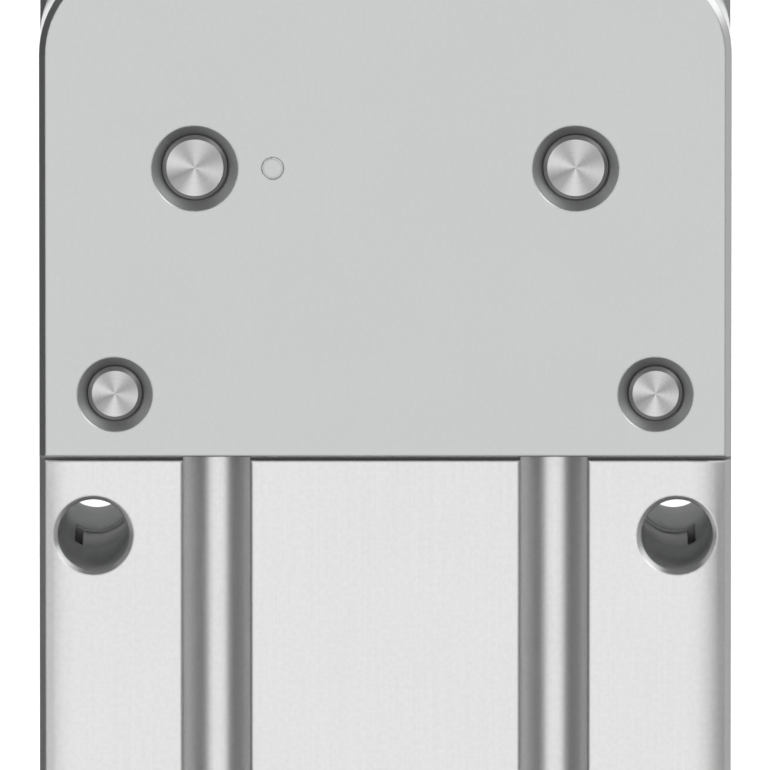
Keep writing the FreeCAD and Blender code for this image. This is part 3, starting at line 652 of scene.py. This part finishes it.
@dataclass(frozen=True)
class Peened(Finish):
    """A satin pin end about an axis along Y whose rim has been tapped down and looks darker.

    Attributes:
        centre: a point on the axis.
        stretch: noise cells per metre along X, Y and Z.
        spread: how far the mottle changes the colour.
        inner: radius where the darker rim begins.
        outer: radius where it is darkest.
        corner: radius of the polished corner around it.
        worn: colour of the rim, as a share of the colour in the middle.
        dulled: how much rougher the rim is.
        polished: base colour of the corner.
    """

    centre: Triple = (0.0, 0.0, 0.0)
    stretch: Triple = (5000.0, 5000.0, 2500.0)
    spread: float = 0.012
    inner: float = 0.36 * MM
    outer: float = 0.44 * MM
    corner: float = 0.46 * MM
    worn: float = 0.84
    dulled: float = 0.08
    polished: Colour = (0.95, 0.96, 0.955)

    def paint(self, canvas: Canvas) -> None:
        """Mottled satin in the middle, and a darker ring towards the rim.

        Args:
            canvas: the material.
        """
        graph = canvas.graph
        distance = canvas.hole(self.centre, self.inner).outputs["Distance"]
        rim = graph.ramp(distance, self.inner, self.outer)
        grain = canvas.lay(canvas.effects.grain, Stretch=self.stretch)
        worn = tuple(self.worn * channel for channel in self.colour)
        colour = graph.blend(rim, self.shade(graph, grain.outputs["Mottle"], self.spread), worn)
        bright = graph.math("GREATER_THAN", distance, self.corner)
        canvas.set("Base Color", graph.blend(bright, colour, self.polished))
        canvas.set("Roughness", self.dull(graph, rim, 0.0, self.dulled))
        self.relief(canvas, grain.outputs["Grain"])


@dataclass(frozen=True)
class Milled(Finish):
    """Metal with the marks of a milling cutter.

    Attributes:
        depth: depth of the marks.
        along: direction in which the marks follow each other.
        pitch: distance from mark to mark.
        spread: how far oil patches change the colour.
        polished: how much smoother the bare metal is than the mean.
        oiled: how much rougher the patches are.
    """

    depth: float = 0.0012 * MM
    along: Triple = (0.25, 0.1, 1.0)
    pitch: float = 0.16 * MM
    spread: float = 0.08
    polished: float = 0.05
    oiled: float = 0.06

    def paint(self, canvas: Canvas) -> None:
        """Cutter marks in relief, and oil patches in colour and gloss.

        Args:
            canvas: the material.
        """
        graph = canvas.graph
        group = canvas.lay(canvas.effects.cutter, Along=self.along, Pitch=self.pitch)
        patches = canvas.patches()
        canvas.set("Base Color", self.shade(graph, patches, self.spread))
        canvas.set("Roughness", self.dull(graph, patches, self.polished, self.oiled))
        self.relief(canvas, group.outputs["Marks"])


@dataclass(frozen=True)
class Speckled(Finish):
    """A fine-grained surface: sintered bronze, phosphated steel, moulded plastic or rubber.

    Attributes:
        depth: how deep the pores are.
        grain_size: size of the speckles.
        spread: how far they change the colour.
        uneven: how far soft patches change the roughness.
    """

    depth: float = 0.002 * MM
    grain_size: float = 0.08 * MM
    spread: float = 0.2
    uneven: float = 0.05

    def paint(self, canvas: Canvas) -> None:
        """Pores and speckles at the grain's size, and soft patches in the gloss.

        Args:
            canvas: the material.
        """
        graph = canvas.graph
        pores = graph.noise(canvas.place, 1.0 / self.grain_size, detail=2.0)
        canvas.set("Base Color", self.shade(graph, graph.ramp(pores, *SPOT_RANGE), self.spread))
        canvas.set("Roughness", self.dull(graph, canvas.patches(), self.uneven, self.uneven))
        self.relief(canvas, pores)


# Pieces


def new_piece(
    name: str, points: np.ndarray, faces: np.ndarray, material: Material
) -> bpy.types.Object:
    """Makes a mesh piece at the origin.

    Args:
        name: the piece's name.
        points: n by 3 positions in the row frame.
        faces: m by 4 indices of the corners of each face.
        material: its finish.

    Returns:
        The new object.
    """
    mesh = bpy.data.meshes.new(name)
    mesh.from_pydata(points.tolist(), [], faces.tolist())
    mesh.materials.append(material)
    mesh.update()
    piece = bpy.data.objects.new(name, mesh)
    bpy.context.scene.collection.objects.link(piece)
    return piece


def ring_faces(rows: int, columns: int) -> np.ndarray:
    """Joins rows of points, each a closed ring, into four-cornered faces.

    Face (i, j) has the corners (i, j), (i, j + 1), (i + 1, j + 1) and (i + 1, j), and the last column joins
    the first.

    Args:
        rows: number of rows.
        columns: number of points in a row.

    Returns:
        The corner indices, one face a line.
    """
    points = np.arange(rows * columns).reshape(rows, columns)
    after = np.roll(points, -1, axis=1)
    return np.stack([points[:-1], after[:-1], after[1:], points[1:]], axis=-1).reshape(-1, 4)


def outward(points: np.ndarray, faces: np.ndarray) -> np.ndarray:
    """Turns the faces of a closed shell outwards.

    The shell's volume is a sixth of the sum, over its triangles, of the triple product of their corners.

    Args:
        points: n by 3 positions.
        faces: m by 4 corner indices, all turning the same way.

    Returns:
        The faces, with their corners in the reverse order where the volume came out negative.
    """
    first, second, third, fourth = (points[faces[:, corner]] for corner in range(4))
    volume = np.einsum("ij,ij->", first, np.cross(second, third) + np.cross(third, fourth))
    return faces if volume > 0.0 else faces[:, ::-1]


@dataclass(frozen=True)
class InnerThread:
    """A ridge that winds along the wall of a tapped hole.

    Attributes:
        start: the point on the hole's axis where the thread begins.
        axis: the row axis that the hole runs along.
        reach: how far the thread goes along the axis, negative against it.
        size: the thread's size; the hole's wall is at its nominal radius.
        foot: half the ridge's width at the wall, as a share of the pitch.
        slope: how much less that is at the crest.
        height: the ridge's height, as a share of the pitch.
        bite: how far the ridge goes into the wall.
        runout: height at its two ends, as a share of the full height.
    """

    start: Triple
    axis: Axis
    reach: float
    size: ThreadSize
    foot: float = 7.0 / 16.0
    slope: float = 5.0 / 16.0
    height: float = 0.541
    bite: float = 0.01 * MM
    runout: float = 0.04

    def surface(self, steps: int = 28) -> tuple[np.ndarray, np.ndarray]:
        """Carries the ridge's four-cornered section along a helix.

        At turn angle t the middle of the section lies pitch * t / (2 pi) along the axis. Its outer corners
        lie half the foot's width to either side, just inside the wall. Its inner corners are as much further
        in as the ridge is high, on flanks of constant slope. The height grows over the first half turn and
        shrinks over the last one.

        Args:
            steps: sections to a turn.

        Returns:
            The points and the faces of a closed ridge.
        """
        nominal, pitch = self.size.value
        turns = abs(self.reach) / pitch - 2.0 * self.foot
        angle = np.linspace(0.0, 2.0 * np.pi * turns, int(turns * steps) + 1)
        rise = np.clip(np.minimum(angle, angle[-1] - angle) / np.pi, self.runout, 1.0)
        root = np.full_like(angle, nominal + self.bite)
        crest = nominal - self.height * pitch * rise
        wide = np.full_like(angle, self.foot * pitch)
        narrow = (self.foot - self.slope * rise) * pitch
        radius = np.stack([root, root, crest, crest], axis=1)
        centre = pitch * (angle / (2.0 * np.pi) + self.foot)
        along = centre[:, None] + np.stack([-wide, wide, narrow, -narrow], axis=1)
        ahead = np.array(self.axis.value)
        across = np.roll(ahead, 1)
        upward = np.cross(ahead, across)
        spoke = np.cos(angle)[:, None] * across + np.sin(angle)[:, None] * upward
        points = (
            np.array(self.start)
            + math.copysign(1.0, self.reach) * along[..., None] * ahead
            + radius[..., None] * spoke[:, None, :]
        ).reshape(-1, 3)
        ends = np.array([[3, 2, 1, 0], [0, 1, 2, 3]])
        ends[1] += len(points) - 4
        faces = np.concatenate([ring_faces(len(angle), 4), ends])
        return points, outward(points, faces)


def tap(name: str, threads: list[InnerThread], material: Material, body: str) -> None:
    """Makes the threads of a set of holes as one piece.

    Args:
        name: the piece's name.
        threads: the thread of each hole.
        material: finish of the ridges.
        body: the moving body that the piece belongs to.
    """
    shells = [thread.surface() for thread in threads]
    starts = np.cumsum([0] + [len(points) for points, _ in shells[:-1]])
    points = np.concatenate([points for points, _ in shells])
    faces = np.concatenate([faces + start for (_, faces), start in zip(shells, starts)])
    piece = new_piece(name, points, faces, material)
    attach(piece, body)
    log.info("%s has %d threads", name, len(threads))


# Studio


@dataclass(frozen=True)
class Panel:
    """A soft panel of light in the surroundings, with borders in degrees.

    Attributes:
        name: where it stands.
        strength: how bright it is.
        azimuth: its left and right border; 0 is at the camera and +X is to the right.
        rise: its lower and upper border; 0 is the horizon.
        soft: half width of its borders, sideways and upwards.
        paired: whether a second one stands opposite, mirrored left to right.
        lean: how far its borders move to the right for each degree of rise.
    """

    name: str
    strength: float
    azimuth: tuple[float, float]
    rise: tuple[float, float]
    soft: tuple[float, float]
    paired: bool = False
    lean: float = 0.0

    def glow(self, graph: Graph, azimuth: Socket, rise: Socket) -> Socket:
        """The panel's light: its strength inside the borders, fading to 0 across them.

        Args:
            graph: the world's graph.
            azimuth: direction around the gripper, in radians.
            rise: direction above the horizon, in radians.

        Returns:
            The light from that direction.
        """
        turn = graph.math("ABSOLUTE", azimuth) if self.paired else azimuth
        turn = graph.math("SUBTRACT", turn, graph.math("MULTIPLY", rise, self.lean))
        light: Operand = self.strength
        for angle, borders, soft in ((turn, self.azimuth, self.soft[0]), (rise, self.rise, self.soft[1])):
            low, high, band = (math.radians(degrees) for degrees in (*borders, soft))
            light = graph.math("MULTIPLY", light, graph.ramp(angle, low - band, low + band))
            light = graph.math("MULTIPLY", light, graph.ramp(angle, high - band, high + band, 1.0, 0.0))
        light.node.label = self.name
        return light


@dataclass
class Studio:
    """Floor, surrounding light and the camera at the photograph's viewing angle.

    Attributes:
        elevation: how far the camera looks down, in degrees.
        frame_pixels: width of the picture.
        pixels_per_metre: scale of the picture at the gripper's front face.
        lens: focal length in millimetres; very long, because the picture has almost no perspective.
        sensor: sensor width in millimetres.
        target: the point of the front face at the picture's centre.
        clip: nearest and furthest distance that the camera sees, as shares of its distance.
        floor_rings: radii of the rings of points on the floor, out to its rim.
        floor_points: points in each ring.
        floor_colour: base colour of the floor.
        floor_roughness: its roughness.
        floor_gloss: how strongly it reflects.
        overhead_size: width of the overhead light.
        overhead_height: how high it hangs.
        overhead_power: its power in watts.
        ambient: light from every direction.
        panels: panels of light around the gripper; borders past a half turn or a right angle have no effect.
    """

    elevation: float = 8.37
    frame_pixels: float = 770.0
    pixels_per_metre: float = 21630.0
    lens: float = 1650.0
    sensor: float = 36.0
    target: Vector = field(default_factory=lambda: Vector((-0.014, -10.2, 33.39)) * MM)
    clip: tuple[float, float] = (0.1, 10.0)
    floor_rings: tuple[float, ...] = (0.0, 0.08, 0.3, 1.6)
    floor_points: int = 96
    floor_colour: Colour = (0.93, 0.93, 0.93)
    floor_roughness: float = 0.9
    floor_gloss: float = 0.1
    overhead_size: float = 2.4
    overhead_height: float = 1.5
    overhead_power: float = 26.0
    ambient: float = 0.08
    panels: tuple[Panel, ...] = (
        Panel("broad front", 1.05, (-27.0, 25.0), (-62.0, 34.0), (9.0, 14.0), lean=0.27),
        Panel("key right", 2.6, (30.0, 58.0), (16.0, 44.0), (6.0, 6.0)),
        Panel("key left", 2.2, (-66.0, -44.0), (0.0, 42.0), (6.0, 8.0)),
        Panel("right", 0.47, (78.0, 128.0), (-50.0, 62.0), (10.0, 14.0)),
        Panel("high right", 0.85, (60.0, 120.0), (14.0, 62.0), (10.0, 8.0)),
        Panel("low fronts", 0.45, (44.0, 72.0), (-48.0, -2.0), (6.0, 8.0), paired=True),
        Panel("rear left", 0.4, (-150.0, -116.0), (-50.0, 50.0), (12.0, 14.0)),
        Panel("low left", 0.56, (-114.0, -72.0), (-66.0, -18.0), (8.0, 6.0)),
        Panel("rear", 0.9, (138.0, 400.0), (-30.0, 60.0), (12.0, 12.0), paired=True),
        Panel("ceiling", 0.06, (-400.0, 400.0), (65.0, 180.0), (1.0, 9.0)),
    )

    def build(self) -> None:
        """Sets up everything that isn't part of the gripper."""
        self.build_camera()
        self.build_floor()
        self.build_world()
        self.build_overhead()
        bpy.context.scene.view_settings.view_transform = "Standard"

    def build_camera(self) -> None:
        """Stands the camera back until the picture's width covers the stretch that it shows."""
        data = bpy.data.cameras.new("camera")
        data.lens = self.lens
        data.sensor_width = self.sensor
        distance = self.frame_pixels / self.pixels_per_metre * self.lens / self.sensor
        data.clip_start, data.clip_end = (share * distance for share in self.clip)
        camera = bpy.data.objects.new("camera", data)
        slope = math.radians(self.elevation)
        back = Vector((0.0, -math.cos(slope), math.sin(slope)))
        camera.location = self.target + back * distance
        camera.rotation_euler = (-back).to_track_quat("-Z", "Y").to_euler()
        bpy.context.scene.collection.objects.link(camera)
        bpy.context.scene.camera = camera

    def build_floor(self) -> None:
        """A pale disc: rings of points at growing radius, each joined to the next, facing upwards."""
        turns = np.linspace(0.0, 2.0 * np.pi, self.floor_points, endpoint=False)
        radii = np.array(self.floor_rings)
        x = radii[:, None] * np.cos(turns)
        y = radii[:, None] * np.sin(turns)
        points = np.stack([x, y, np.zeros_like(x)], axis=-1).reshape(-1, 3)
        material = bpy.data.materials.new("pale_floor")
        material.use_nodes = True
        shader = material.node_tree.nodes["Principled BSDF"]
        shader.inputs["Base Color"].default_value = (*self.floor_colour, 1.0)
        shader.inputs["Roughness"].default_value = self.floor_roughness
        shader.inputs["Specular IOR Level"].default_value = self.floor_gloss
        faces = ring_faces(len(radii), self.floor_points)
        floor = new_piece("floor", points, faces[:, ::-1], material)
        floor.visible_glossy = False

    def build_overhead(self) -> None:
        """A wide soft light above that whitens the floor and leaves the metal's reflections alone."""
        data = bpy.data.lights.new("overhead", "AREA")
        data.shape = "DISK"
        data.size = self.overhead_size
        data.energy = self.overhead_power
        light = bpy.data.objects.new("overhead", data)
        light.location = (0.0, 0.0, self.overhead_height)
        light.visible_glossy = False
        light.visible_camera = False
        bpy.context.scene.collection.objects.link(light)

    def build_world(self) -> None:
        """White to the camera, and the panels to everything else."""
        world = bpy.data.worlds.new("studio")
        bpy.context.scene.world = world
        world.use_nodes = True
        graph = Graph(world.node_tree)
        world.node_tree.nodes.clear()
        x, y, z = graph.split(graph.add("ShaderNodeTexCoord").outputs["Generated"])
        azimuth = graph.math("ARCTAN2", x, graph.math("MULTIPLY", y, -1.0))
        rise = graph.math("ARCSINE", z)
        light: Operand = self.ambient
        for panel in self.panels:
            light = graph.math("ADD", light, panel.glow(graph, azimuth, rise))
        room = graph.add("ShaderNodeBackground", {"Color": WHITE, "Strength": light}).outputs[0]
        white = graph.add("ShaderNodeBackground", {"Color": WHITE}).outputs[0]
        seen = graph.add("ShaderNodeLightPath").outputs["Is Camera Ray"]
        chosen = graph.add("ShaderNodeMixShader", {0: seen, 1: room, 2: white}).outputs[0]
        graph.add("ShaderNodeOutputWorld", {"Surface": chosen})


# Sub-assemblies


@dataclass
class SubAssembly:
    """What every sub-assembly has.

    Attributes:
        effects: the node groups that its finishes share.
    """

    effects: Effects

    def dress(self, finish: Finish, *nodes: str) -> Material:
        """Builds a finish and gives it to carried-over nodes.

        Args:
            finish: the finish.
            nodes: the nodes' names.

        Returns:
            The finished material.
        """
        material = finish.build(self.effects)
        for node in nodes:
            for slot in frame["nodes"][node].material_slots:
                slot.material = material
            log.info("%s takes %s", node, material.name)
        return material


@dataclass
class CylinderHousing(SubAssembly):
    """The cylinder body with its sensor grooves, and what closes its lower end.

    Attributes:
        edge: radius of the body's broken edges.
        joint: height of the gap under the head, above which shade is painted.
        wall_margin: how far the painted wall of a cross hole reaches past it.
        base_thread: height where the threads of the base holes begin, and how far they go.
        port_thread: distance from the middle plane where the air ports' threads begin, and how far they go.
        pull_thread: height where the thread of the end cover's pull hole begins, and how far it goes.
    """

    edge: float = 0.13 * MM
    joint: float = 29.82 * MM
    wall_margin: float = 0.002 * MM
    base_thread: tuple[float, float] = (0.3 * MM, 7.3 * MM)
    port_thread: tuple[float, float] = (15.5 * MM, -4.8 * MM)
    pull_thread: tuple[float, float] = (2.55 * MM, 2.25 * MM)

    def build(self) -> None:
        """Dresses the body, the end cover and the bushes and seals, and taps the holes."""
        self.dress(self.body_finish(), "cylinder_body")
        cover = DrawnAluminium("turned_cover", (0.70, 0.70, 0.70), 0.34, stretch=(3000.0, 3000.0, 3000.0))
        self.dress(cover, "end_cover")
        self.dress(Speckled("phosphated_ring", (0.10, 0.095, 0.09), 0.45), "end_cover_ring")
        bronze = Speckled("sintered_bronze", (0.55, 0.38, 0.20), 0.42)
        self.dress(bronze, "rod_bush", "seal_retainer", "jaw_bush_left", "jaw_bush_right")
        rubber = Speckled("black_nitrile", (0.025, 0.025, 0.027), 0.7, metallic=0.0)
        self.dress(rubber, "rod_seal", "end_cover_seal", "piston_seal_lower", "piston_seal_upper")
        self.build_threads(Milled("tapped_aluminium", (0.62, 0.62, 0.62), 0.36).build(self.effects))

    def body_finish(self) -> Finish:
        """Drawn aluminium with cross-hole walls in painted shade and painted light, and painted shade in the
        gap under the head.

        Returns:
            The finish of the cylinder body.
        """
        (_, _, height), size = mount("cross_bolts")
        centre = (size["spacing_x_mm"] / 2.0 * MM, 0.0, height)
        radius = size["hole_r_mm"] * MM + self.wall_margin
        return DrawnAluminium(
            "drawn_body",
            (0.735, 0.735, 0.735),
            0.3,
            edge=self.edge,
            patchiness=0.012,
            holes=(Drilled(centre, radius),),
            # cross-hole walls: painted shade near the mouths, painted light near the middle plane
            wall=Cut((0.27, 0.275, 0.275), 0.65, metallic=0.3, deep=(0.96, 0.97, 0.97)),
            # painted shade in the gap under the head, above this height
            joint=self.joint,
        )

    def build_threads(self, material: Material) -> None:
        """Taps the holes in the base, the air ports and the pull hole of the end cover.

        Args:
            material: finish of the ridges.
        """
        _, size = mount("base_bolts")
        right = size["spacing_x_mm"] / 2.0 * MM
        rear = size["spacing_y_mm"] / 2.0 * MM
        start, reach = self.base_thread
        corners = [(x, y, start) for x in (-right, right) for y in (-rear, rear)]
        base = [InnerThread(corner, Axis.Z, reach, ThreadSize.M3) for corner in corners]
        start, reach = self.port_thread
        heights = [mount(name)[0][2] for name in ("air_port_open", "air_port_close")]
        ports = [InnerThread((start, 0.0, z), Axis.X, reach, ThreadSize.M5) for z in heights]
        start, reach = self.pull_thread
        pull = [InnerThread((0.0, 0.0, start), Axis.Z, reach, ThreadSize.M3)]
        tap("base_threads", base, material, "housing")
        tap("port_threads", ports, material, "housing")
        tap("pull_hole_thread", pull, material, "housing")


@dataclass
class JawHead(SubAssembly):
    """The two cheeks with the pins that cross them.

    Attributes:
        edge: radius of the cheeks' broken edges.
        pivot_rim: outer radius of the chamfers around the pivot pins.
        tie_rim: outer radius of the chamfers around the tie pins.
        satin: base colour of the cheeks' faces and of the index pin.
        satin_roughness: their roughness.
        satin_grain: their noise cells per metre along X, Y and Z.
    """

    edge: float = 0.1 * MM
    pivot_rim: float = 1.98 * MM
    tie_rim: float = 1.73 * MM
    satin: Colour = (0.603, 0.616, 0.609)
    satin_roughness: float = 0.36
    satin_grain: Triple = (5000.0, 5000.0, 2500.0)

    def build(self) -> None:
        """Dresses the cheeks, what crosses them and what stands between them."""
        plate = DrawnAluminium(
            "satin_cheek",
            self.satin,
            self.satin_roughness,
            edge=self.edge,
            stretch=self.satin_grain,
            spread=0.018,
            patchiness=0.006,
            holes=(
                Drilled(middle("pivot_pin_right"), self.pivot_rim),
                Drilled(middle("tie_pin_right"), self.tie_rim),
            ),
            # countersink walls around the pins: cut metal painted darker, partly as painted shade
            wall=Cut((0.45, 0.455, 0.455), 0.5),
            flank=Cut((0.74, 0.75, 0.745), 0.22),
        )
        self.dress(plate, "front_cheek", "rear_cheek")
        self.build_pins()
        self.dress(Milled("rolled_shim", (0.5, 0.49, 0.47), 0.35), "pivot_shims")
        block = Milled("oiled_block", (0.69, 0.69, 0.695), 0.55, metallic=0.5)
        self.dress(block, "tie_block_left", "tie_block_right")

    def build_pins(self) -> None:
        """Dresses the index pin, and each pivot and tie pin with lathe marks about its own axis."""
        satin = (self.satin, self.satin_roughness)
        index = Peened("peened_index", *satin, centre=middle("index_pin"), stretch=self.satin_grain)
        self.dress(index, "index_pin")
        for side in Side:
            for kind in ("pivot", "tie"):
                pin = f"{kind}_pin_{side.word}"
                name = f"turned_{kind}_{side.word}"
                self.dress(TurnedSteel(name, (0.89, 0.89, 0.89), 0.47, centre=middle(pin)), pin)


@dataclass
class PistonDrive(SubAssembly):
    """The piston, its rod and the crosshead that swings the jaws.

    Attributes:
        piston_grain: noise cells per metre along X, Y and Z on the turned piston.
        rod_grain: the same on the ground rod.
    """

    piston_grain: Triple = (300.0, 300.0, 9000.0)
    rod_grain: Triple = (900.0, 900.0, 12000.0)

    def build(self) -> None:
        """Dresses everything that moves with the piston."""
        self.dress(Milled("milled_crosshead", (0.42, 0.42, 0.43), 0.34), "crosshead")
        piston = DrawnAluminium("turned_piston", (0.72, 0.72, 0.71), 0.3, stretch=self.piston_grain)
        self.dress(piston, "piston")
        rod = DrawnAluminium("ground_rod", (0.66, 0.66, 0.67), 0.16, stretch=self.rod_grain)
        self.dress(rod, "piston_rod")
        self.dress(Milled("plated_nut", (0.56, 0.56, 0.56), 0.3), "piston_nut")
        self.dress(Speckled("bonded_magnet", (0.07, 0.07, 0.07), 0.6, metallic=0.0), "magnet_ring")
        for side in Side:
            pin = f"drive_pin_{side.word}"
            name = f"turned_drive_{side.word}"
            self.dress(TurnedSteel(name, (0.66, 0.66, 0.66), 0.26, centre=middle(pin)), pin)


@dataclass
class SwingJaws(SubAssembly):
    """The two jaws with their tapped holes for fingers.

    Attributes:
        inner: distance of the inner face of each jaw's upper part from the middle plane.
        lead: distance of a thread's ends from the jaw's faces.
    """

    inner: float = 6.5 * MM
    lead: float = 0.3 * MM

    def build(self) -> None:
        """Dresses the jaws and taps their holes."""
        steel = Milled("milled_jaw", (0.46, 0.46, 0.47), 0.32)
        material = self.dress(steel, "jaw_left", "jaw_right")
        for side in Side:
            self.build_threads(side, material)

    def build_threads(self, side: Side, material: Material) -> None:
        """Taps the two holes of one jaw from its inner to its outer face.

        Args:
            side: which jaw it is.
            material: finish of the ridges.
        """
        (outer, _, height), size = mount(f"finger_bolts_{side.word}")
        apart = size["spacing_y_mm"] / 2.0 * MM
        start = (self.inner + self.lead) * side.value
        reach = (abs(outer) - self.inner - 2.0 * self.lead) * side.value
        holes = [(start, 0.0, z) for z in (height - apart, height + apart)]
        threads = [InnerThread(hole, Axis.X, reach, ThreadSize.M3) for hole in holes]
        tap(f"finger_threads_{side.word}", threads, material, f"{side.word}_jaw")


def main() -> None:
    """Builds the studio and dresses every sub-assembly."""
    logging.basicConfig(level=logging.INFO, format="%(name)s: %(message)s")
    Studio().build()
    effects = Effects()
    CylinderHousing(effects).build()
    JawHead(effects).build()
    PistonDrive(effects).build()
    SwingJaws(effects).build()


if __name__ == "__main__":
    main()
